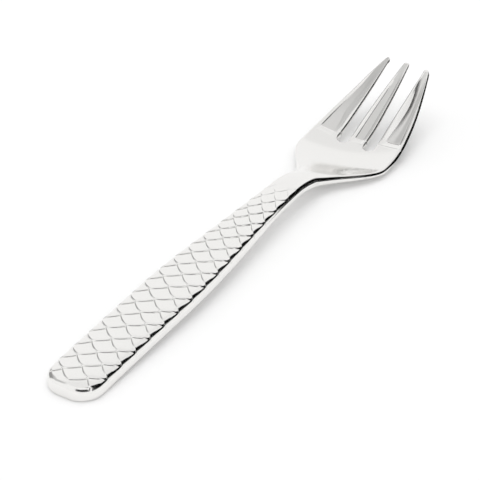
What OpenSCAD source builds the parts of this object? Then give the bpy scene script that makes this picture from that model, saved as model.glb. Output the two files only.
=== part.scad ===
// Oyster fork, forged in one piece from a steel bar and polished.
// x runs along the fork from the end of the handle (negative) to the tine tips (positive),
// y runs across and z runs up from the surface that the fork rests on. Lengths are millimetres.

/* [Whole fork] */
// Length from the end of the handle to the tine tips
fork_length = 150; // [120:1:190]
// Height of the upper face at the tine tips
tip_height = 14; // [9:0.1:18]
// Height of the upper face at the neck
neck_height = 7.95; // [6:0.05:11]
// Depth of the flats that the fork rests on, under the handle's end and the belly
rest_flat = 0.15; // [0.1:0.05:0.3]

/* [Handle] */
// Widest part of the handle
handle_width = 14.5; // [11:0.1:18]
// Thickness along the middle of the handle
handle_thickness = 3.9; // [3.2:0.05:5]
// Thickness of the handle's side
handle_side = 3.2; // [2.6:0.05:4.2]
// Radius of the handle's upper edge
handle_round = 1.6; // [1:0.05:1.8]
// Radius of the handle's upper edge at its end
end_round = 1.1; // [0.6:0.05:1.6]
// Radius of the handle's lower edge
lower_round = 0.6; // [0.3:0.05:0.8]
// Rise of the upper face from its edges to the middle
crown = 0.6; // [0.3:0.05:1]
// Corner radius of the handle's end, seen from above
end_corner = 5.2; // [3:0.1:6.5]
// Bow of the handle's end, seen from above
end_bow = 0.8; // [0.1:0.05:1.4]

/* [Scales] */
// Length of one scale along the handle
scale_length = 5.71; // [4:0.01:8]
// Height of the step at a scale's free edge
scale_step = 0.26; // [0.15:0.01:0.4]
// Slope of that step, along the fork
step_run = 0.12; // [0.06:0.01:0.16]
// Distance from the handle's end to the first scale's tip
scale_start = 1.95; // [1.9:0.05:4]

/* [Neck] */
// Width of the neck
neck_width = 7.75; // [6:0.05:10]
// Thickness along the middle of the neck
neck_thickness = 2.9; // [2.4:0.05:3.6]
// Thickness of the neck's side
neck_side = 2.3; // [2:0.05:3]
// Radius of the neck's upper edge
neck_round = 1.1; // [0.6:0.05:1.2]

/* [Bowl] */
// Widest part of the bowl
bowl_width = 25.8; // [21:0.1:30]
// Depth of the bowl below its rim
dish_depth = 1.2; // [0.6:0.05:2]
// Thickness of the bowl's middle
bowl_thickness = 1.6; // [1.4:0.05:2.4]
// Thickness of the bowl's rim
rim_side = 1.5; // [1.3:0.05:2]
// Radius of the rim's upper edge
rim_round = 0.8; // [0.3:0.05:0.85]
// Radius of the rim's lower edge
rim_lower = 0.45; // [0.2:0.05:0.5]

/* [Tines] */
// Length of the gaps between the tines
gap_length = 26.2; // [20:0.1:30]
// Width of the gaps at their roots
gap_width = 3; // [2:0.05:3.6]
// Width of the middle tine at its root
middle_tine = 4.8; // [3.6:0.1:6]
// Width over the outer tines at their tips
tip_spread = 13.2; // [11:0.1:16]
// Width of a tine at its tip
tip_width = 1.4; // [1:0.05:2]
// Thickness of the tines near their roots
tine_side = 1.35; // [1.1:0.05:1.8]
// Thickness of a tine at its tip
tip_side = 0.95; // [0.9:0.05:1.3]
// Radius of a tine's outer edges at its tip
tip_round = 0.45; // [0.2:0.05:0.45]
// Rounding of the tines' edges along the gaps
gap_round = 0.2; // [0.1:0.05:0.3]
// Fall of the outer tines' upper face toward their outer edge
tine_fall = 0.75; // [0.2:0.05:1.2]

/* [Sunk faces] */
// Depth of the sloped border round a tine's sunk face
border_depth = 0.2; // [0.1:0.02:0.4]
// Height of the small step at the foot of that border
face_step = 0.14; // [0.05:0.01:0.2]
// Length of the border's slope at the root of a tine
border_length = 1.4; // [0.6:0.1:3]
// Greatest width of the border along the gap sides of the outer tines
border_width = 2.3; // [1.6:0.05:2.6]
// Width of that border at the root of the tine
root_border = 1.5; // [0.6:0.05:1.6]
// Width of the border along the middle tine
middle_border = 0.85; // [0.4:0.05:1]
// Width of the border along the outer edges
outer_border = 0.6; // [0.2:0.05:0.8]
// How much nearer to the tips the outer tines' sunk faces begin than the middle tine's
outer_setback = 1; // [0:0.1:2]

/* [Hidden] */

half_handle = handle_width / 2;
half_neck = neck_width / 2;
half_bowl = bowl_width / 2;
half_gap = gap_width / 2;
half_middle = middle_tine / 2;
half_tip = tip_width / 2;

// Places along the fork, from the handle's end, as shares of its length
taper_from = 0.267 * fork_length;
taper_to = 0.64 * fork_length;
neck_from = 0.4 * fork_length;
neck_to = 0.587 * fork_length;
neck_peak = 0.617 * fork_length;
scales_fade_from = 0.575 * fork_length;
scales_fade_to = 0.64 * fork_length;
shoulder_from = 0.672 * fork_length;
shoulder_to = 0.7935 * fork_length;
dish_to = 0.773 * fork_length;
belly = 0.788 * fork_length;
widest = 0.8135 * fork_length;
bend_to = 0.868 * fork_length;
border_full = 0.9 * fork_length;
border_fade_from = 0.914 * fork_length;
sunk_fade_from = 0.94 * fork_length;
fall_to = 0.947 * fork_length;
sunk_fade_to = 0.985 * fork_length;

gap_root = fork_length - gap_length;
gap_middle = half_middle + half_gap;
sunk_from = gap_root + half_gap / 2;
sunk_to = gap_root + half_gap + border_length;

// Powers that shape the curves
rise_power = 1.5;
outer_power = 1.62;
tine_power = 1.5;

function clamp(v) = min(max(v, 0), 1);
function ease(v) = clamp(v) * clamp(v) * (3 - 2 * clamp(v));
function part_way(s, a, b) = ease((s - a) / (b - a));
function mix(a, b, t) = a + (b - a) * t;
// How far a quarter round of radius r has fallen, at the distance d from its outer line
function round_fall(d, r) = d >= r ? 0 : r - sqrt(r * r - (r - max(d, 0)) * (r - max(d, 0)));

// Half width of the fork at the distance s from the handle's end: the handle tapers to the
// neck, the shoulders swell to the bowl, and the outer tines curve in to the tips.
function outline(s) =
    s < shoulder_from ? mix(half_handle, half_neck, part_way(s, taper_from, taper_to))
    : s < widest ? mix(half_neck, half_bowl, part_way(s, shoulder_from, shoulder_to))
    : mix(half_bowl, tip_spread / 2, pow((s - widest) / (fork_length - widest), outer_power));
function half_width(s) = outline(s) - round_fall(s, end_corner);

// Height of the upper face along the middle: the handle climbs to the neck, the neck dips
// to the bowl, and the tines bend up to a straight slope.
handle_top = handle_thickness - rest_flat;
bowl_low = bowl_thickness - rest_flat;
bend = bend_to - belly;
tine_slope = (tip_height - bowl_low) / (bend / 2 + fork_length - bend_to);
function spine(s) =
    s < neck_peak ? mix(neck_height, handle_top, pow(1 - s / neck_peak, rise_power))
    : s < belly ? mix(neck_height, bowl_low, part_way(s, neck_peak, belly))
    : s < bend_to ? bowl_low + tine_slope * (s - belly) * (s - belly) / (2 * bend)
    : tip_height - tine_slope * (fork_length - s);

// Height of the edges above the middle: crowned handle, dished bowl, falling outer tines
function rim_rise(s) = mix(-crown, dish_depth, part_way(s, shoulder_from, dish_to))
    - (dish_depth + tine_fall) * part_way(s, widest, fall_to);

// A measure that changes from the handle through the neck, the bowl and the tines to the tips
function along(s, handle, neck, bowl, tine, tip) =
    s < shoulder_from ? mix(handle, neck, part_way(s, neck_from, neck_to))
    : s < belly ? mix(neck, bowl, part_way(s, shoulder_from, dish_to))
    : s < bend_to ? mix(bowl, tine, part_way(s, belly, bend_to))
    : mix(tine, tip, part_way(s, bend_to, fork_length));
function middle_thick(s) =
    along(s, handle_thickness, neck_thickness, bowl_thickness, tine_side, tip_side);
function side_thick(s) = along(s, handle_side, neck_side, rim_side, tine_side, tip_side);
function upper_round(s) = along(s, handle_round, neck_round, rim_round, rim_round, tip_round);
function under_round(s) = along(s, lower_round, lower_round, rim_lower, rim_lower, tip_round);

// Upper face before its scales and sunk faces, rounded at its edges and its end
function upper(s, y) =
    let (w = half_width(s))
    spine(s) + rim_rise(s) * y * y / (w * w)
        - max(round_fall(w - abs(y), upper_round(s)), round_fall(s, end_round));
// Underside, with the two flats that the fork rests on
function under(s, y) =
    let (w = half_width(s), rise = rim_rise(s) - side_thick(s) + middle_thick(s))
    max(0, spine(s) - middle_thick(s) + rise * y * y / (w * w)) + round_fall(s, under_round(s));

// Sides of the gaps between the tines. A gap opens in a half circle at its root.
gap_bow_share = 0.085;
tip_inner = tip_spread / 2 - tip_width;
function gap_open(s) = let (t = 1 - clamp((s - gap_root) / half_gap)) sqrt(1 - t * t);
function outer_gap_side(s) =
    let (u = clamp((s - gap_root) / gap_length),
         run = mix(half_middle + gap_width, tip_inner, u) - 4 * u * (1 - u) * gap_bow_share * gap_width)
    mix(gap_middle, run, gap_open(s));
function middle_gap_side(s) =
    let (u = clamp((s - bend_to) / (fork_length - bend_to)),
         run = mix(half_middle, half_tip, pow(u, tine_power)))
    mix(gap_middle, run, gap_open(s));

// Scales: plates tilted along the handle, two to a row. A row overlaps the next row toward
// the handle's end, and the corners of its free edge reach that row's scale tips.
row_pitch = scale_length / 2;
row_count = floor((scales_fade_to - scale_start) / row_pitch);
scale_reach_share = 0.974;
edge_bow_share = 0.6;
edge_clear_share = 0.08;
quarter = 6;
// Phase along the free edge of row n: 0 at a corner between two scales, 1 at a scale's tip
function edge_phase(n, j) =
    let (q = abs(j / quarter - 2), p = min(q, 2 - q))
    n % 2 == 0 ? 1 - p : p;
function row_corner(n) = scale_start + row_pitch * (n + 1);
function free_edge(n, j) =
    let (p = edge_phase(n, j))
    row_corner(n) - row_pitch * (1 - edge_clear_share) * (p + edge_bow_share * p * (1 - p));
function scale_fade(s) = ease(s / scale_start) * (1 - part_way(s, scales_fade_from, scales_fade_to));
function plate_lift(n, s) = scale_step * scale_fade(s) * (row_corner(n) - s) / row_pitch;

// Sunk face of a tine: a sloped border, a small step at its foot, and a floor. Level 0 is
// the tine's upper face, 1 the border's foot and 2 the floor.
function sunk_depth(s, level) =
    [0, border_depth, border_depth + face_step][level]
        * part_way(s, sunk_from, sunk_to) * (1 - part_way(s, sunk_fade_from, sunk_fade_to));
function border_left(s) = 1 - part_way(s, border_fade_from, sunk_fade_to);
function gap_border(s) = mix(root_border, border_width, part_way(s, sunk_to, border_full));

// The upper face has three strips of columns, which become the three tines. On the handle
// they are spread evenly, six columns to half a scale.
strip_count = 3;
strip_top = 9;
strip_under = 4;
side_count = 3;
columns_from = 0.695 * fork_length;
columns_to = 0.775 * fork_length;
soft_share = 1 - cos(45);
outer_levels = [0, 0, 1, 2, 2, 2, 1, 0, 0];
middle_levels = [0, 0, 1, 2, 2, 2, 1, 0, 0];
border_share = 0.42;
step_share = 0.08;
gap_side_share = 0.8;
outer_land_share = 0.1;
middle_land_share = 0.2;

// Distances from the middle of an outer tine's columns, from its outer side to its gap side
function outer_columns(s) =
    let (w = half_width(s), r = upper_round(s), i = min(outer_gap_side(s), gap_side_share * (w - r)),
         edge = i + min(gap_round, outer_land_share * (w - r - i)), span = w - r - edge,
         a = w - r - min(outer_border * border_left(s), border_share * span / 2),
         b = edge + min(gap_border(s) * border_left(s), border_share * span),
         step = min(face_step, step_share * span))
    [w - soft_share * r, w - r, a, a - step, (a + b) / 2, b + step, b, edge, i];
function middle_columns(s) =
    let (m = middle_gap_side(s), edge = m - min(gap_round, middle_land_share * m),
         b = edge - min(middle_border, border_share * edge), step = min(face_step, step_share * m))
    [-m, -edge, -b, step - b, 0, b - step, b, edge, m];
function outer_under_columns(s) =
    let (w = half_width(s) - under_round(s), i = min(outer_gap_side(s), gap_side_share * w),
         edge = i + min(gap_round, outer_land_share * (w - i)))
    [w, (w + edge) / 2, edge, i];
function middle_under_columns(s) =
    let (m = middle_gap_side(s), edge = m - min(gap_round, middle_land_share * m))
    [-m, -edge, edge, m];

// Place across of column c of count columns in a strip, given the strips' own columns
function across(s, c, count, reach, outer, middle) =
    let (strip = floor(c / count), k = c - strip * count, last = strip_count * (count - 1),
         split = strip == 0 ? -outer[k] : strip == 1 ? middle[k] : outer[count - 1 - k])
    mix(reach * (2 * (c - strip) / last - 1), split, part_way(s, columns_from, columns_to));

// Tine tips close in a round, down to a small flat.
tip_close_share = 0.96;
function tip_open(s) =
    let (t = tip_close_share * clamp((s - fork_length) / half_tip + 1))
    sqrt(1 - t * t);
function tine_middle(s, strip) = (strip - 1) * (half_width(s) + outer_gap_side(s)) / 2;
function closed(s, strip, y, z) =
    let (mid = tine_middle(s, strip), open = tip_open(s))
    [s, mix(mid, y, open), mix(spine(s) - middle_thick(s) / 2, z, open)];
// The handle's end bows outward.
function bowed(p) =
    let (far = clamp(p[0] / (2 * end_corner)), y = p[1] / half_handle)
    [p[0] + end_bow * y * y * (1 - far) - fork_length / 2, p[1], p[2]];

// Below the scales, a row's two sections lie at these shares of its length before its corners.
body_shares = [0, 0.75, 0.25];
// A station is [row, side, s]. Side 0 is a plain section at s, side 1 the foot of the free
// edge of a row of scales and side 2 the top of that edge.
function column_place(station, j) =
    station[1] == 0 ? station[2] : free_edge(station[0], j) - (2 - station[1]) * step_run;
function body_place(station) =
    station[1] == 0 ? station[2] : row_corner(station[0]) - row_pitch * body_shares[station[1]];

function top_point(station, c) =
    let (strip = floor(c / strip_top), k = c - strip * strip_top,
         s = column_place(station, c - strip), w = half_width(s),
         y = across(s, c, strip_top, scale_reach_share * w, outer_columns(s), middle_columns(s)),
         level = strip == 1 ? middle_levels[k] : outer_levels[strip == 0 ? k : strip_top - 1 - k],
         gap_edge = (strip > 0 && k == 0) || (strip < 2 && k == strip_top - 1),
         outer_edge = c == 0 || c == strip_count * strip_top - 1,
         plate = station[0] - (station[1] == 1 ? 1 : 0),
         lift = outer_edge ? 0 : plate_lift(plate, s),
         sunk = sunk_depth(s - (strip == 1 ? 0 : outer_setback), level))
    closed(s, strip, y, upper(s, y) + lift - sunk - (gap_edge ? gap_round * gap_open(s) : 0));
function under_point(s, c) =
    let (strip = floor(c / strip_under), k = c - strip * strip_under,
         reach = half_width(s) - under_round(s),
         y = across(s, c, strip_under, reach, outer_under_columns(s), middle_under_columns(s)),
         gap_edge = (strip > 0 && k == 0) || (strip < 2 && k == strip_under - 1))
    closed(s, strip, y, under(s, y) + (gap_edge ? gap_round * gap_open(s) : 0));
// Three points down one side: the wall's top and bottom, and the lower round
function side_points(s, side) =
    let (w = half_width(s), r = under_round(s), lift = round_fall(s, r), low = under(s, w))
    [closed(s, side + 1, side * w, spine(s) + rim_rise(s) - upper_round(s)),
     closed(s, side + 1, side * w, low - lift + r + soft_share * lift),
     closed(s, side + 1, side * (w - soft_share * r), low + soft_share * (r - lift))];

function section(station) =
    let (s = body_place(station))
    concat([for (c = [0 : strip_count * strip_top - 1]) top_point(station, c)],
           [for (c = [0 : strip_count * strip_under - 1]) under_point(s, c)],
           side_points(s, -1), side_points(s, 1));

end_shares = [0, 0.06, 0.2, 0.45, 0.75];
neck_sections = 19;
gap_angles = [0, 25, 50, 70, 90];
border_shares = [0.25, 0.5, 0.75, 1];
border_end = sunk_to + outer_setback;
tine_sections = 13;
tip_angles = [0, 25, 45, 62, 77, 90];
plain = -1;
handle_stations = concat(
    [for (t = end_shares) [plain, 0, scale_start * t]],
    [for (n = [0 : row_count - 1], side = [1, 2]) [n, side, 0]],
    [for (k = [1 : neck_sections]) [plain, 0, mix(scales_fade_to, gap_root, k / (neck_sections + 1))]]);
tine_stations = concat(
    [for (a = gap_angles) [plain, 0, gap_root + half_gap * (1 - cos(a))]],
    [for (t = border_shares) [plain, 0, mix(gap_root + half_gap, border_end, t)]],
    [for (k = [1 : tine_sections])
        [plain, 0, mix(border_end, fork_length - half_tip, k / (tine_sections + 1))]],
    [for (a = tip_angles) [plain, 0, fork_length - half_tip * (1 - sin(a))]]);
stations = concat(handle_stations, tine_stations);
root = len(handle_stations);
last = len(stations) - 1;

// Numbers of the points of a section. Up to the gaps' root the strips share their seams.
section_size = strip_count * (strip_top + strip_under) + 2 * side_count;
function top_at(i, c) =
    i * section_size + (i <= root && (c == strip_top || c == 2 * strip_top) ? c - 1 : c);
function under_at(i, c) = i * section_size + strip_count * strip_top
    + (i <= root && (c == strip_under || c == 2 * strip_under) ? c - 1 : c);
function side_at(i, side, k) =
    i * section_size + strip_count * (strip_top + strip_under) + side_count * side + k;

// Loops round one strip and round the whole section, over the top from right to left
function strip_loop(i, strip) = concat(
    [for (k = [0 : strip_top - 1]) top_at(i, strip * strip_top + k)],
    strip == 2 ? [for (k = [0 : side_count - 1]) side_at(i, 1, k)] : [],
    [for (k = [strip_under - 1 : -1 : 0]) under_at(i, strip * strip_under + k)],
    strip == 0 ? [for (k = [side_count - 1 : -1 : 0]) side_at(i, 0, k)] : []);
function whole_loop(i) = concat(
    [for (c = [0 : strip_count * strip_top - 1]) if (c != strip_top && c != 2 * strip_top) top_at(i, c)],
    [for (k = [0 : side_count - 1]) side_at(i, 1, k)],
    [for (c = [strip_count * strip_under - 1 : -1 : 0])
        if (c != strip_under && c != 2 * strip_under) under_at(i, c)],
    [for (k = [side_count - 1 : -1 : 0]) side_at(i, 0, k)]);
function band(a, b) = [for (k = [0 : len(a) - 1]) let (n = (k + 1) % len(a))
    each [[a[k], a[n], b[n]], [a[k], b[n], b[k]]]];
function cap(loop, middle) = [for (k = [0 : len(loop) - 1]) [loop[k], loop[(k + 1) % len(loop)], middle]];
function flipped(faces) = [for (f = faces) [f[2], f[1], f[0]]];

end_middle = bowed([0, 0, handle_top / 2]);
tip_middles = [for (strip = [0 : strip_count - 1]) bowed(closed(fork_length, strip,
    tine_middle(fork_length, strip), spine(fork_length) - middle_thick(fork_length) / 2))];

module fork() {
    points = concat([for (station = stations) each [for (p = section(station)) bowed(p)]],
                    [end_middle], tip_middles);
    first_middle = (last + 1) * section_size;
    faces = concat(
        flipped(cap(whole_loop(0), first_middle)),
        [for (i = [0 : root - 1]) each band(whole_loop(i), whole_loop(i + 1))],
        [for (i = [root : last - 1], strip = [0 : strip_count - 1])
            each band(strip_loop(i, strip), strip_loop(i + 1, strip))],
        [for (strip = [0 : strip_count - 1]) each cap(strip_loop(last, strip), first_middle + 1 + strip)]);
    color("silver") polyhedron(points, faces);
}

fork();
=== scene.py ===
"""Oyster fork: one forged and polished piece of steel, lying on a white table in soft light."""

from math import acos, atan2, cos, hypot, pi, radians, sin, sqrt

import bmesh
import bpy
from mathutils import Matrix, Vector


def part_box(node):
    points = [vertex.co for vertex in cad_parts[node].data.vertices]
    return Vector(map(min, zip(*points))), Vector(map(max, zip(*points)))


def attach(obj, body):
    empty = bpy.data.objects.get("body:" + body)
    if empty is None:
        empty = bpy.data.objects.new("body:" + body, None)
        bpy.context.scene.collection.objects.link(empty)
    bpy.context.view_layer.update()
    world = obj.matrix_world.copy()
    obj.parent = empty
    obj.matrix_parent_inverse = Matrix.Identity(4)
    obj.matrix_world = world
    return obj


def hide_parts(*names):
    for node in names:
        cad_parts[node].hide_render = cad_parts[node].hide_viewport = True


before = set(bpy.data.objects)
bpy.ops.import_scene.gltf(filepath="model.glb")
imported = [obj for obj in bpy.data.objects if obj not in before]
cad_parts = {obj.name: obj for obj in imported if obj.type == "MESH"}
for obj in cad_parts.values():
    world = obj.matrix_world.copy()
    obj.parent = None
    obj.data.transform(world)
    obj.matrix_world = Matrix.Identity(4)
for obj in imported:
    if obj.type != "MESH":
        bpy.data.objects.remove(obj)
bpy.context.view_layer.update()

MM = 0.001

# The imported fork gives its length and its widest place. The other sizes are those of the
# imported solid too, in millimetres.
fork_low, fork_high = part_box("fork")
fork_length = (fork_high.x - fork_low.x) / MM
bowl_width = (fork_high.y - fork_low.y) / MM

tip_height = 14
neck_height = 7.95
rest_flat = 0.15
handle_width = 14.5
handle_thickness = 3.9
handle_side = 3.2
handle_round = 1.6
end_round = 1.1
lower_round = 0.6
crown = 0.6
end_corner = 5.2
end_bow = 0.8
scale_length = 5.71
scale_step = 0.26
step_run = 0.12
scale_start = 1.95
neck_width = 7.75
neck_thickness = 2.9
neck_side = 2.3
neck_round = 1.1
dish_depth = 1.2
bowl_thickness = 1.6
rim_side = 1.5
rim_round = 0.8
rim_lower = 0.45
gap_length = 26.2
gap_width = 3
middle_tine = 4.8
tip_spread = 13.2
tip_width = 1.4
tine_side = 1.35
tip_side = 0.95
tip_round = 0.45
tine_fall = 0.75
border_depth = 0.2
face_step = 0.14
border_length = 1.4
border_width = 2.3
root_border = 1.5
middle_border = 0.85
outer_border = 0.6

half_handle = handle_width / 2
half_neck = neck_width / 2
half_bowl = bowl_width / 2
half_gap = gap_width / 2
half_middle = middle_tine / 2
half_tip = tip_width / 2

# Places along the fork, from the handle's end
taper_from = 0.267 * fork_length
taper_to = 0.64 * fork_length
neck_from = 0.4 * fork_length
neck_to = 0.587 * fork_length
neck_peak = 0.617 * fork_length
scales_fade_to = 0.64 * fork_length
shoulder_from = 0.672 * fork_length
shoulder_to = 0.7935 * fork_length
dish_to = 0.773 * fork_length
belly = 0.788 * fork_length
widest = 0.8135 * fork_length
bend_to = 0.868 * fork_length
border_full = 0.9 * fork_length
border_fade_from = 0.914 * fork_length
sunk_fade_from = 0.94 * fork_length
fall_to = 0.947 * fork_length
sunk_fade_to = 0.985 * fork_length
columns_from = 0.695 * fork_length
columns_to = 0.775 * fork_length
gap_root = fork_length - gap_length
gap_middle = half_middle + half_gap
sunk_from = gap_root + half_gap / 2
sunk_to = gap_root + half_gap + border_length

# Powers and shares that shape the curves
RISE_POWER = 1.5
OUTER_POWER = 1.62
TINE_POWER = 1.5
GAP_BOW = 0.085
EDGE_BOW = 0.6
EDGE_CLEAR = 0.08
SCALE_REACH = 0.974
BORDER_SHARE = 0.42
STEP_SHARE = 0.08
GAP_SIDE_LIMIT = 0.8
HALF_WAY = 0.5
TIP_CLOSE = 0.985


def clamp(v):
    return min(max(v, 0), 1)


def ease(v):
    v = clamp(v)
    return v * v * (3 - 2 * v)


def part_way(s, a, b):
    return ease((s - a) / (b - a))


def mix(a, b, t):
    return a + (b - a) * t


def round_fall(d, r):
    """How far a quarter round of radius r has fallen at the distance d from its outer line."""
    return 0 if d >= r else r - sqrt(r * r - (r - max(d, 0)) ** 2)


# Form of the fork

def outline(s):
    if s < shoulder_from:
        return mix(half_handle, half_neck, part_way(s, taper_from, taper_to))
    if s < widest:
        return mix(half_neck, half_bowl, part_way(s, shoulder_from, shoulder_to))
    return mix(half_bowl, tip_spread / 2, ((s - widest) / (fork_length - widest)) ** OUTER_POWER)


def half_width(s):
    return outline(s) - round_fall(s, end_corner)


handle_top = handle_thickness - rest_flat
bowl_low = bowl_thickness - rest_flat
bend = bend_to - belly
tine_slope = (tip_height - bowl_low) / (bend / 2 + fork_length - bend_to)


def spine(s):
    """Height of the upper face along the middle."""
    if s < neck_peak:
        return mix(neck_height, handle_top, (1 - s / neck_peak) ** RISE_POWER)
    if s < belly:
        return mix(neck_height, bowl_low, part_way(s, neck_peak, belly))
    if s < bend_to:
        return bowl_low + tine_slope * (s - belly) ** 2 / (2 * bend)
    return tip_height - tine_slope * (fork_length - s)


def rim_rise(s):
    """Height of the edges above the middle."""
    rise = mix(-crown, dish_depth, part_way(s, shoulder_from, dish_to))
    return rise - (dish_depth + tine_fall) * part_way(s, widest, fall_to)


def along(s, handle, neck, bowl, tine, tip):
    """A measure that changes from the handle through the neck, bowl and tines to the tips."""
    if s < shoulder_from:
        return mix(handle, neck, part_way(s, neck_from, neck_to))
    if s < belly:
        return mix(neck, bowl, part_way(s, shoulder_from, dish_to))
    if s < bend_to:
        return mix(bowl, tine, part_way(s, belly, bend_to))
    return mix(tine, tip, part_way(s, bend_to, fork_length))


def middle_thick(s):
    return along(s, handle_thickness, neck_thickness, bowl_thickness, tine_side, tip_side)


def side_thick(s):
    return along(s, handle_side, neck_side, rim_side, tine_side, tip_side)


def upper_round(s):
    return along(s, handle_round, neck_round, rim_round, rim_round, tip_round)


def under_round(s):
    return along(s, lower_round, lower_round, rim_lower, rim_lower, tip_round)


def gap_open(s):
    return sqrt(1 - (1 - clamp((s - gap_root) / half_gap)) ** 2)


def outer_gap_side(s):
    u = clamp((s - gap_root) / gap_length)
    run = mix(half_middle + gap_width, tip_spread / 2 - tip_width, u)
    return mix(gap_middle, run - 4 * u * (1 - u) * GAP_BOW * gap_width, gap_open(s))


def middle_gap_side(s):
    u = clamp((s - bend_to) / (fork_length - bend_to))
    return mix(gap_middle, mix(half_middle, half_tip, u ** TINE_POWER), gap_open(s))


# Scales of the handle

row_pitch = scale_length / 2
row_count = int((scales_fade_to - scale_start) / row_pitch)

# Toward the neck the scales grow soft sooner than in the solid.
SOFT_FROM = 0.5 * fork_length
SOFT_TO = scales_fade_to


def row_corner(n):
    return scale_start + row_pitch * (n + 1)


def free_edge(n, t):
    """Place of the free edge of row n, at the share t of the way across to the scales' reach."""
    q = 2 * abs(t) % 2
    p = min(q, 2 - q)
    p = 1 - p if n % 2 == 0 else p
    return row_corner(n) - row_pitch * (1 - EDGE_CLEAR) * (p + EDGE_BOW * p * (1 - p))


def plate_lift(n, s):
    fade = ease(s / scale_start) * (1 - part_way(s, SOFT_FROM, SOFT_TO))
    return scale_step * fade * (row_corner(n) - s) / row_pitch


# Lines across the fork. Each is (row, share, place), where place(t) gives the distance from
# the handle's end at the share t of the way across, and share is how much of the line lies on
# that row's scales, the rest being on the row below.

PLAIN = -1
EDGE_SUPPORT = 0.06
EDGE_ROLL = 0.5
ROLL_SHARE = 0.85
ROLL_LINES = 6
PLATE_LINES = 3
END_LINES = 7
FIRST_SHARES = (0.5, 1)
NECK_SPACING = 0.6
TINE_SPACING = 0.5
ROOT_LINES = 4
GAP_LINES = 10
TIP_LINES = 9


def flat_line(s):
    return PLAIN, 0, lambda t: s


def foot(n, t):
    return free_edge(n, t) - step_run


def rolled(n, t, turn):
    """Place on the rounded free edge of row n, from its foot at turn 0 to its top at pi / 2."""
    room = free_edge(n + 1, t) - free_edge(n, t)
    return foot(n, t) + min(EDGE_ROLL, ROLL_SHARE * room) * (1 - cos(turn))


def row_end(n, t):
    return foot(n + 1, t) - EDGE_SUPPORT if n + 1 < row_count else scales_fade_to


def row_lines(n):
    """Lines over the free edge of row n and over its scales, up to the next row's foot."""
    def edge(turn):
        return n, sin(turn), lambda t: rolled(n, t, turn)

    def plate(u):
        return n, 1, lambda t: mix(rolled(n, t, pi / 2), row_end(n, t), u)

    turns = [pi / 2 * k / (ROLL_LINES - 1) for k in range(ROLL_LINES)]
    return [edge(turn) for turn in turns] + [plate((k + 1) / PLATE_LINES) for k in range(PLATE_LINES)]


def spaced(a, b, spacing):
    count = max(1, round((b - a) / spacing))
    return [mix(a, b, k / count) for k in range(1, count)]


def all_lines():
    lines = [flat_line(end_round * (1 - cos(pi / 2 * k / (END_LINES - 1)))) for k in range(END_LINES)]
    lines += [(0, 0, lambda t, u=u: mix(end_round, foot(0, t) - EDGE_SUPPORT, u))
              for u in FIRST_SHARES]
    for n in range(row_count):
        lines += row_lines(n)
    gap = [gap_root + half_gap * (1 - cos(pi / 2 * k / (GAP_LINES - 1))) for k in range(GAP_LINES)]
    tip = [fork_length - half_tip * (1 - sin(pi / 2 * k / (TIP_LINES - 1))) for k in range(TIP_LINES)]
    neck = spaced(scales_fade_to, gap_root - GAP_EDGE, NECK_SPACING)
    neck += [gap_root - GAP_EDGE * (1 - k / ROOT_LINES) for k in range(ROOT_LINES)]
    feet = [sunk_to + back + more for back in SETBACKS for more in (0, face_step)]
    lips = [sunk_to + back - ROOT_BAND + more for back in SETBACKS for more in (0, LIP_RUN)]
    root = sorted(gap + lips + feet + spaced(gap[-1], max(feet), TINE_SPACING))
    plain = neck + root + spaced(root[-1], tip[0], TINE_SPACING) + tip
    return lines + [flat_line(s) for s in plain], len(lines) + len(neck)


# Columns along the fork. Counted from the right side, they form three strips, which become
# the tines: a strip's columns run from the edge round over the border, the small step and
# the floor of the sunk face to the other side.

ROUND_COLUMNS = 6
EVEN_COLUMNS = 68
OUTER_FLOOR = 8
MIDDLE_FLOOR = 5
LAND_COLUMNS = 5
OUTER_COLUMNS = 29
MIDDLE_COLUMNS = 25
LAST_COLUMN = 2 * OUTER_COLUMNS + MIDDLE_COLUMNS - 3
LAND_STEPS = [1 - cos(pi / 2 * k / (LAND_COLUMNS - 1)) for k in range(LAND_COLUMNS)]

# The gaps' edges are rounded fuller than in the solid, and the small steps are steep and crisp.
GAP_EDGE = 0.45
OUTER_EDGE_SHARE = 0.12
MIDDLE_EDGE_SHARE = 0.2
STEP_SLOPE = 0.58
CRISP = 0.05
TIP_BORDER = 0.15

# A column's level says how far down the sunk face it lies: 0 is the tine's top, 1 the foot of
# the border and 2 the middle tine's floor. The left tine's floor is a little shallower. The
# right one is hollow: highest beside the gap, lowest at the reach's distance from there.
MIDDLE_LEVEL = 2
LEFT_LEVEL = 1.8
HOLLOW_FOOT = 1.3
HOLLOW_LOW = 4
HOLLOW_OUT = 2.4
HOLLOW_REACH = 2.2

# Where the sunk faces start, behind (-) or ahead (+) of the middle tine's, from right to left.
# A fine raised line stands at the bowl's end of each face's border. On its gap side the right
# face's border is narrower than the left one's.
SETBACKS = (1.6, 0, -0.5)
ROOT_BAND = 1.6
LIP_HEIGHT = 0.05
LIP_RUN = 0.04
RIGHT_BORDER_SHARE = 0.76


def even_share(c):
    """Share of the half width at column c on the handle, from -1 to 1."""
    k = min(c, LAST_COLUMN - c)
    edge = acos(SCALE_REACH)
    if k < ROUND_COLUMNS:
        share = cos(edge * k / ROUND_COLUMNS)
    else:
        share = SCALE_REACH * (1 - 2 * (k - ROUND_COLUMNS) / EVEN_COLUMNS)
    return -share if 2 * c < LAST_COLUMN else share


def gap_border(s):
    return mix(root_border, border_width, part_way(s, sunk_to, border_full))


def edge_radius(room, share):
    """Radius of a tine's rounded edge beside a gap."""
    return min(GAP_EDGE, share * room)


def hollow_level(y, width):
    """Level of an outer tine's floor at the distance y from its step on the gap side."""
    reach = min(HOLLOW_REACH, width / 2)
    if y < reach:
        return mix(HOLLOW_LOW, HOLLOW_FOOT, (1 - y / reach) ** 2)
    return mix(HOLLOW_LOW, HOLLOW_OUT, ease((y - reach) / (width - reach)))


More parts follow.
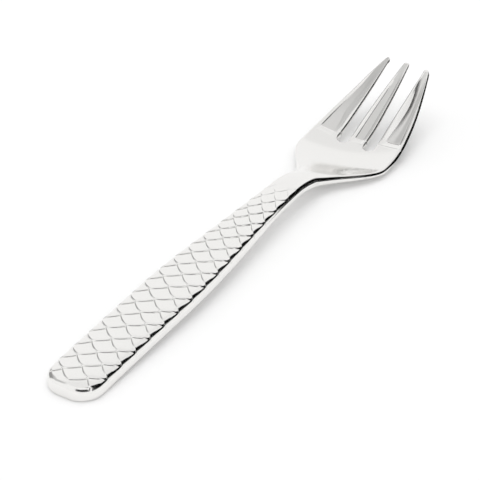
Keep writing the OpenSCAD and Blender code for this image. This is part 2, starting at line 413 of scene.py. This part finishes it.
def outer_columns(s, border_share, hollow):
    """(distance from the middle, level) of an outer tine's columns, from its outer side."""
    w, r = half_width(s), upper_round(s)
    i = min(outer_gap_side(s), GAP_SIDE_LIMIT * (w - r))
    land = edge_radius(w - r - i, OUTER_EDGE_SHARE)
    edge = i + land
    span = w - r - edge
    left = mix(1, TIP_BORDER, part_way(s, border_fade_from, sunk_fade_to))
    a = w - r - min(outer_border * left, BORDER_SHARE * span / 2)
    b = edge + min(gap_border(s) * border_share * left, BORDER_SHARE * span)
    step = min(face_step * STEP_SLOPE, STEP_SHARE * span)
    rounds = [(w - r + r * cos(pi / 2 * k / ROUND_COLUMNS), 0) for k in range(ROUND_COLUMNS + 1)]
    low, high = b + step, a - step
    places = [high, high - CRISP * left]
    places += [mix(high, low, k / (OUTER_FLOOR + 1)) for k in range(1, OUTER_FLOOR + 1)]
    places += [low + CRISP * left, low]
    floor = [(y, hollow_level(y - low, high - low) if hollow else LEFT_LEVEL) for y in places]
    outer_foot = [(a + CRISP * left, 1 - CRISP * left / (w - r - a)), (a, 1)]
    gap_foot = [(b, 1), (b - CRISP * left, 1 - CRISP * left / (b - edge))]
    gap_foot += [(mix(b, edge, HALF_WAY), 1 - HALF_WAY)]
    lands = [(i + land * t, 0) for t in reversed(LAND_STEPS)]
    return rounds + outer_foot + floor + gap_foot + lands


def middle_columns(s):
    """(distance from the middle, level) of the middle tine's columns, from right to left."""
    m = middle_gap_side(s)
    land = edge_radius(m, MIDDLE_EDGE_SHARE)
    edge = m - land
    b = edge - min(middle_border, BORDER_SHARE * edge)
    step = min(face_step * STEP_SLOPE, STEP_SHARE * m)
    lands = [(m - land * t, 0) for t in LAND_STEPS]
    half = lands + [(mix(b, edge, HALF_WAY), 1 - HALF_WAY)]
    half += [(b + CRISP, 1 - CRISP / (edge - b)), (b, 1)]
    half += [(b - step, MIDDLE_LEVEL), (b - step - CRISP, MIDDLE_LEVEL)]
    parts = MIDDLE_FLOOR // 2 + 1
    half += [((b - step) * (1 - k / parts), MIDDLE_LEVEL) for k in range(1, parts)]
    return [(-y, level) for y, level in half] + [(0, MIDDLE_LEVEL)] + half[::-1]


def column(s, strip, k):
    """(place across, level) of column k of a strip on the line at s."""
    if strip == 0:
        y, level = outer_columns(s, RIGHT_BORDER_SHARE, True)[k]
        c, y = k, -y
    elif strip == 1:
        y, level = middle_columns(s)[k]
        c = OUTER_COLUMNS - 1 + k
    else:
        y, level = outer_columns(s, 1, False)[OUTER_COLUMNS - 1 - k]
        c = OUTER_COLUMNS + MIDDLE_COLUMNS - 2 + k
    return mix(even_share(c) * half_width(s), y, part_way(s, columns_from, columns_to)), level


def sunk_depth(s, level):
    """Fall of the sunk face's border, and of the small step at the border's foot."""
    border = min(level, 1) * border_depth * part_way(s, sunk_from, sunk_to)
    step = max(level - 1, 0) * face_step * clamp((s - sunk_to) / face_step)
    return (border + step) * (1 - part_way(s, sunk_fade_from, sunk_fade_to))


def lip_rise(s, level):
    """Height of the raised line at the bowl's end of a sunk face's border."""
    start = sunk_to - ROOT_BAND
    fade = clamp((sunk_to - s) / (ROOT_BAND - LIP_RUN))
    return min(level, 1) * LIP_HEIGHT * clamp((s - start) / LIP_RUN) * fade


def edge_place(s, y, radius):
    """(distance, radius, direction across) at the nearest point of the fork's outline."""
    side = abs(y) - (outline(s) - end_corner)
    if s < end_corner and side > 0:
        far = hypot(end_corner - s, side)
        turn = atan2(side, end_corner - s) / (pi / 2)
        return end_corner - far, mix(min(end_round, radius), radius, turn)
    if s < half_width(s) - abs(y):
        return s, min(end_round, radius)
    return half_width(s) - abs(y), radius


def gap_drop(s, y, strip):
    """Fall of the rounded edges round the gaps."""
    if s < gap_root:
        return round_fall(hypot(gap_root - s, abs(y) - gap_middle), GAP_EDGE)
    if strip == 1:
        side = middle_gap_side(s)
        return round_fall(side - abs(y), edge_radius(side, MIDDLE_EDGE_SHARE))
    side = outer_gap_side(s)
    radius = edge_radius(half_width(s) - upper_round(s) - side, OUTER_EDGE_SHARE)
    return round_fall(abs(y) - side, radius)


def closed(s, strip, y, z):
    """The same point, drawn in where the tine tips are rounded."""
    t = TIP_CLOSE * clamp((s - fork_length) / half_tip + 1)
    open_share = sqrt(1 - t * t)
    middle = (strip - 1) * (half_width(s) + outer_gap_side(s)) / 2
    return mix(middle, y, open_share), mix(spine(s) - middle_thick(s) / 2, z, open_share)


def bowed(s, y):
    """The handle's end bows outward."""
    far = clamp(s / (2 * end_corner))
    return s + end_bow * (y / half_handle) ** 2 * (1 - far)


# The scales flatten out where the handle's edge turns down, between these angles.
FLATTEN_FROM = radians(18)
FLATTEN_TO = radians(50)


def scale_lift(row, share, s):
    return 0 if row == PLAIN else mix(plate_lift(row - 1, s), plate_lift(row, s), share)


def upper_point(row, share, s, strip, k):
    y, level = column(s, strip, k)
    w = half_width(s)
    d, r = edge_place(s, y, upper_round(s))
    turned = pi / 2 - acos(clamp(1 - d / r))
    lift = scale_lift(row, share, s) * (1 - part_way(turned, FLATTEN_FROM, FLATTEN_TO))
    face_s = s - SETBACKS[strip]
    lift += lip_rise(face_s, level) - sunk_depth(face_s, level)
    z = spine(s) + rim_rise(s) * (y / w) ** 2 - round_fall(d, r) + lift - gap_drop(s, y, strip)
    y, z = closed(s, strip, y, z)
    return Vector((bowed(s, y) - fork_length / 2, y, z)) * MM


def under_point(s, strip, k):
    y = column(s, strip, k)[0]
    w = half_width(s)
    rise = rim_rise(s) - side_thick(s) + middle_thick(s)
    d, r = edge_place(s, y, under_round(s))
    z = max(0, spine(s) - middle_thick(s) + rise * (y / w) ** 2) + round_fall(d, under_round(s))
    y, z = closed(s, strip, y, z + gap_drop(s, y, strip))
    return Vector((bowed(s, y) - fork_length / 2, y, z)) * MM


STRIP_STARTS = (0, OUTER_COLUMNS - 1, OUTER_COLUMNS + MIDDLE_COLUMNS - 2)
SEAMS = STRIP_STARTS[1:]

# The underside is plain. Its lines are straight, at the place that the upper ones have at this
# share of the way across.
UNDER_SHARE = 0.25

# The floors of the sunk faces are satin. So are the left one's border beside the gap and, past
# the run-out, the left and middle ones' borders. The satin ends just short of the tips.
SATIN_END = 0.5
GAP_SIDE_COLUMNS = 10
RUN_OUT = 0.96 * fork_length
SLACK = 0.001


def strip_of(vert, root_line):
    """The strip that a grid vertex belongs to. A seam's two copies are told apart by their faces."""
    line, c = vert.co.xy
    if c in SEAMS and line > root_line:
        middles = [face.calc_center_median().y for face in vert.link_faces]
        c += 0.5 if min(middles) > c else -0.5
    return 0 if c <= SEAMS[0] else 1 if c <= SEAMS[1] else 2


def is_satin(lines, face, spots):
    """True on the satin part of a tine's sunk face."""
    for vert in face.verts:
        line, strip, k = (vert[layer] for layer in spots)
        s = lines[line][2](0)
        start = sunk_to + SETBACKS[strip]
        whole = strip > 0 and s > RUN_OUT or strip == 2 and k < GAP_SIDE_COLUMNS
        lowest = 0 if whole else 1
        if not start - SLACK < s < fork_length - SATIN_END:
            return False
        if column(s, strip, k)[1] < lowest + SLACK:
            return False
    return True


def fork_mesh():
    """A flat grid is split along the gaps, extruded into a slab and moved to the fork's form."""
    lines, root_line = all_lines()
    last_line = len(lines) - 1
    bm = bmesh.new()
    bmesh.ops.create_grid(bm, x_segments=last_line, y_segments=LAST_COLUMN, size=1)
    spots = [bm.verts.layers.int.new(name) for name in ("line", "strip", "column")]
    for vert in bm.verts:
        vert.co.x = round((vert.co.x + 1) / 2 * last_line)
        vert.co.y = round((vert.co.y + 1) / 2 * LAST_COLUMN)
    gaps = [edge for edge in bm.edges if all(v.co.y in SEAMS and v.co.x >= root_line for v in edge.verts)
            and edge.verts[0].co.y == edge.verts[1].co.y]
    bmesh.ops.split_edges(bm, edges=gaps)
    for vert in bm.verts:
        strip = strip_of(vert, root_line)
        for layer, value in zip(spots, (vert.co.x, strip, vert.co.y - STRIP_STARTS[strip])):
            vert[layer] = round(value)

    made = bmesh.ops.extrude_face_region(bm, geom=bm.faces[:])["geom"]
    upper = {item for item in made if isinstance(item, bmesh.types.BMVert)}
    for face in (item for item in made if isinstance(item, bmesh.types.BMFace)):
        face.material_index = int(is_satin(lines, face, spots))
    for vert in bm.verts:
        line, strip, k = (vert[layer] for layer in spots)
        row, share, place = lines[line]
        if vert in upper:
            across = even_share(k + STRIP_STARTS[strip]) / SCALE_REACH
            vert.co = upper_point(row, share, place(across), strip, k)
        else:
            vert.co = under_point(place(UNDER_SHARE), strip, k)
    bmesh.ops.recalc_face_normals(bm, faces=bm.faces)
    return bm


def finished(name, bm, *materials):
    """A smooth piece from a bmesh."""
    mesh = bpy.data.meshes.new(name)
    bm.to_mesh(mesh)
    bm.free()
    for material in materials:
        mesh.materials.append(material)
    mesh.shade_smooth()
    piece = bpy.data.objects.new(name, mesh)
    bpy.context.collection.objects.link(piece)
    return piece


# Materials

def linear(colour):
    """A colour written as sRGB hex, turned to linear."""
    parts = [int(colour[i:i + 2], 16) / 255 for i in (1, 3, 5)]
    return [c / 12.92 if c <= 0.04045 else ((c + 0.055) / 1.055) ** 2.4 for c in parts] + [1]


def add(tree, kind, sockets=(), **settings):
    """A node with its settings. A socket takes a value or another node's output."""
    node = tree.nodes.new(kind)
    for name, value in settings.items():
        setattr(node, name, value)
    for socket, value in dict(sockets).items():
        if isinstance(value, bpy.types.NodeSocket):
            tree.links.new(value, node.inputs[socket])
        else:
            node.inputs[socket].default_value = value
    return node


def new_material(name):
    material = bpy.data.materials.new(name)
    material.use_nodes = True
    material.node_tree.nodes.clear()
    return material, material.node_tree


# This number times a steel's own scale draws its marks about 0.3 mm apart across the fork. Real
# ones are too fine to show.
MARKS_ACROSS = 900


def marked_steel(name, colour, marks_along, marks_scale, marks_detail, roughness):
    """Stainless steel with marks that run along the fork and vary its roughness a little."""
    material, tree = new_material(name)
    place = add(tree, "ShaderNodeTexCoord").outputs["Object"]
    drawn_out = add(tree, "ShaderNodeMapping", {
        "Vector": place, "Scale": (marks_along, MARKS_ACROSS, MARKS_ACROSS)})
    marks = add(tree, "ShaderNodeTexNoise", {
        "Vector": drawn_out.outputs[0], "Scale": marks_scale, "Detail": marks_detail})
    rough = add(tree, "ShaderNodeMapRange", {
        "Value": marks.outputs["Fac"], "To Min": roughness[0], "To Max": roughness[1]})
    shader = add(tree, "ShaderNodeBsdfPrincipled", {
        "Base Color": linear(colour), "Metallic": 1, "Roughness": rough.outputs["Result"]})
    add(tree, "ShaderNodeOutputMaterial", {"Surface": shader.outputs[0]})
    return material


def polished_steel():
    """18/10 stainless steel, buffed to a mirror: sharp reflections, slightly hazed by the buff."""
    return marked_steel("mirror_polished_stainless_steel", "#F0EFED", marks_along=60,
                        marks_scale=3.5, marks_detail=2, roughness=(0.12, 0.18))


def satin_steel():
    """The same steel, left satin in the sunk faces: a soft grey sheen with fine lines."""
    return marked_steel("satin_ground_stainless_steel", "#DFDEDC", marks_along=40,
                        marks_scale=4, marks_detail=3, roughness=(0.3, 0.38))


def glow(name, colour):
    material, tree = new_material(name)
    shader = add(tree, "ShaderNodeEmission", {"Color": linear(colour)})
    add(tree, "ShaderNodeOutputMaterial", {"Surface": shader.outputs[0]})
    return material


# The studio: a white table in a white room, with one soft lamp. The camera and the steel see
# the room white, and it lights things with a part of that.

FLOOR_SIZE = 6
TABLE_GLOW = 0.1
ROOM_SHADE = 0.76
LAMP_SIZE = 0.9
LAMP_POWER = 3
LAMP_PLACE = Vector((0, 0.05, 1))

# Only the steel's reflections show the cards round the fork. The black ones to the right, one
# of which lies on the table, give the dark line along that side, and the low white one keeps
# the line narrow along the handle. The grey ones to the left and the dark one behind the camera
# tone the scales, and the pale one overhead keeps what leans toward the camera below white.

BLACK = "#050505"
WHITE = "#FFFFFF"
CARD_RADIUS = 1.2
CARD_FACES = 8

# Name, colour, bearings of the two sides, height angle of the foot, and those of the head at
# the two sides. Angles are in degrees, and a bearing turns from +X toward +Y.
CARDS = (
    ("black_card", BLACK, (-42, -75), 0.2, (84, 84)),
    ("far_black_card", BLACK, (-75, -98), 0.2, (84, 24)),
    ("last_black_card", BLACK, (-98, -114), 0.2, (24, 6)),
    ("low_black_card", BLACK, (0, -42), 0.2, (14, 42)),
    ("grey_card", "#CACACA", (62, 112), 36, (62, 62)),
    ("low_grey_card", "#9C9C9C", (62, 98), 0.2, (36, 36)),
    ("back_card", "#303030", (-120, -168), 18, (52, 52)),
    ("ceiling_card", "#F4F4F4", (-42, 62), 44, (89, 89)),
)

# Near side (x, y) of the card that lies on the table
TABLE_CARD_NEAR = ((0.02, -0.015), (0.037, -0.015), (0.046, -0.0168), (0.056, -0.0095),
                   (0.37, -0.0095))
TABLE_CARD_FAR = -0.37
TABLE_CARD_HEIGHT = 0.0003

# Head (x, z) of the low white card
WHITE_CARD_HEAD = ((-0.1, 0.0045), (-0.03, 0.009), (0.02, 0.0102), (0.0262, 0.0108))
WHITE_CARD_Y = -0.02


def seen(tree):
    """1 where the camera or the steel looks, and 0 for the light that falls on things."""
    rays = add(tree, "ShaderNodeLightPath").outputs
    share = rays["Is Camera Ray"]
    for kind in ("Is Glossy Ray", "Is Transmission Ray"):
        share = add(tree, "ShaderNodeMath", {0: share, 1: rays[kind]}, operation="MAXIMUM").outputs[0]
    return share


def make_floor():
    """A white table, made a little brighter than its light for the camera and the steel."""
    bm = bmesh.new()
    bmesh.ops.create_grid(bm, x_segments=1, y_segments=1, size=FLOOR_SIZE / 2)
    material, tree = new_material("white_table")
    surface = add(tree, "ShaderNodeBsdfPrincipled", {"Base Color": linear("#F6F6F6"), "Roughness": 0.9})
    strength = add(tree, "ShaderNodeMath", {0: seen(tree), 1: TABLE_GLOW}, operation="MULTIPLY")
    white = add(tree, "ShaderNodeEmission", {"Strength": strength.outputs[0]})
    both = add(tree, "ShaderNodeAddShader", {0: surface.outputs[0], 1: white.outputs[0]})
    add(tree, "ShaderNodeOutputMaterial", {"Surface": both.outputs[0]})
    finished("floor", bm, material)


def hide_card(card):
    """Only the steel's reflections show a card."""
    card.visible_camera = False
    card.visible_diffuse = False
    card.visible_shadow = False


def make_card(name, colour, bearings, foot_angle, head_angles):
    """A card on a sphere round the fork. Its head may slope from one bearing to the other."""
    bm = bmesh.new()
    bmesh.ops.create_grid(bm, x_segments=CARD_FACES, y_segments=CARD_FACES, size=1)
    for vert in bm.verts:
        u, v = (vert.co.x + 1) / 2, (vert.co.y + 1) / 2
        turn = radians(mix(*bearings, u))
        rise = radians(mix(foot_angle, mix(*head_angles, u), v))
        vert.co = CARD_RADIUS * Vector((cos(rise) * cos(turn), cos(rise) * sin(turn), sin(rise)))
    hide_card(finished(name, bm, glow(name, colour)))


def make_long_card(name, colour, side, other_side):
    """A card along the fork, between two sides that turn at the same places."""
    last = len(side) - 1
    bm = bmesh.new()
    bmesh.ops.create_grid(bm, x_segments=last, y_segments=1, size=1)
    for vert in bm.verts:
        k = round((vert.co.x + 1) / 2 * last)
        vert.co = other_side[k] if vert.co.y > 0 else side[k]
    hide_card(finished(name, bm, glow(name, colour)))


def make_table_card():
    """A black card that lies on the table, to the right of the bowl and the tines."""
    far = [(x, TABLE_CARD_FAR, TABLE_CARD_HEIGHT) for x, _ in TABLE_CARD_NEAR]
    near = [(x, y, TABLE_CARD_HEIGHT) for x, y in TABLE_CARD_NEAR]
    make_long_card("table_card", BLACK, far, near)


def make_white_card():
    """A low white card that stands along the handle's right side, and hides the black one's foot."""
    base = [(x, WHITE_CARD_Y, 0) for x, _ in WHITE_CARD_HEAD]
    head = [(x, WHITE_CARD_Y, z) for x, z in WHITE_CARD_HEAD]
    make_long_card("low_white_card", WHITE, base, head)


def make_cards():
    make_table_card()
    make_white_card()
    for card in CARDS:
        make_card(*card)


def make_light():
    world = bpy.data.worlds.new("white_room")
    world.use_nodes = True
    tree = world.node_tree
    tree.nodes.clear()
    level = add(tree, "ShaderNodeMapRange", {"Value": seen(tree), "To Min": ROOM_SHADE, "To Max": 1})
    room = add(tree, "ShaderNodeBackground", {"Color": (1, 1, 1, 1), "Strength": level.outputs[0]})
    add(tree, "ShaderNodeOutputWorld", {"Surface": room.outputs[0]})
    bpy.context.scene.world = world

    lamp = bpy.data.lights.new("soft_lamp", "AREA")
    lamp.shape = "DISK"
    lamp.size = LAMP_SIZE
    lamp.energy = LAMP_POWER
    holder = bpy.data.objects.new("soft_lamp", lamp)
    holder.location = LAMP_PLACE
    holder.visible_glossy = False
    holder.rotation_euler = (-holder.location).to_track_quat("-Z", "Y").to_euler()
    bpy.context.collection.objects.link(holder)


# The camera stands low behind the handle's end, a little to the right, and looks along the fork.

CAMERA_PITCH = radians(34.155)
CAMERA_YAW = radians(33.756)
CAMERA_DISTANCE = 0.7304
CAMERA_TARGET = Vector((0.00015, 0.00199, 0))
CAMERA_LENS = 225
CLIP_SHARE = 0.05


def make_camera():
    forward = Vector((cos(CAMERA_PITCH) * cos(CAMERA_YAW), cos(CAMERA_PITCH) * sin(CAMERA_YAW),
                      -sin(CAMERA_PITCH)))
    camera = bpy.data.objects.new("camera", bpy.data.cameras.new("camera"))
    camera.data.lens = CAMERA_LENS
    camera.data.clip_start = CLIP_SHARE * CAMERA_DISTANCE
    camera.location = CAMERA_TARGET - forward * CAMERA_DISTANCE
    camera.rotation_euler = forward.to_track_quat("-Z", "Y").to_euler()
    bpy.context.collection.objects.link(camera)
    bpy.context.scene.camera = camera
    bpy.context.scene.view_settings.view_transform = "Standard"


make_camera()
make_light()
make_floor()
make_cards()
fork = finished("fork_body", fork_mesh(), polished_steel(), satin_steel())
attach(fork, "root")
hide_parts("fork")
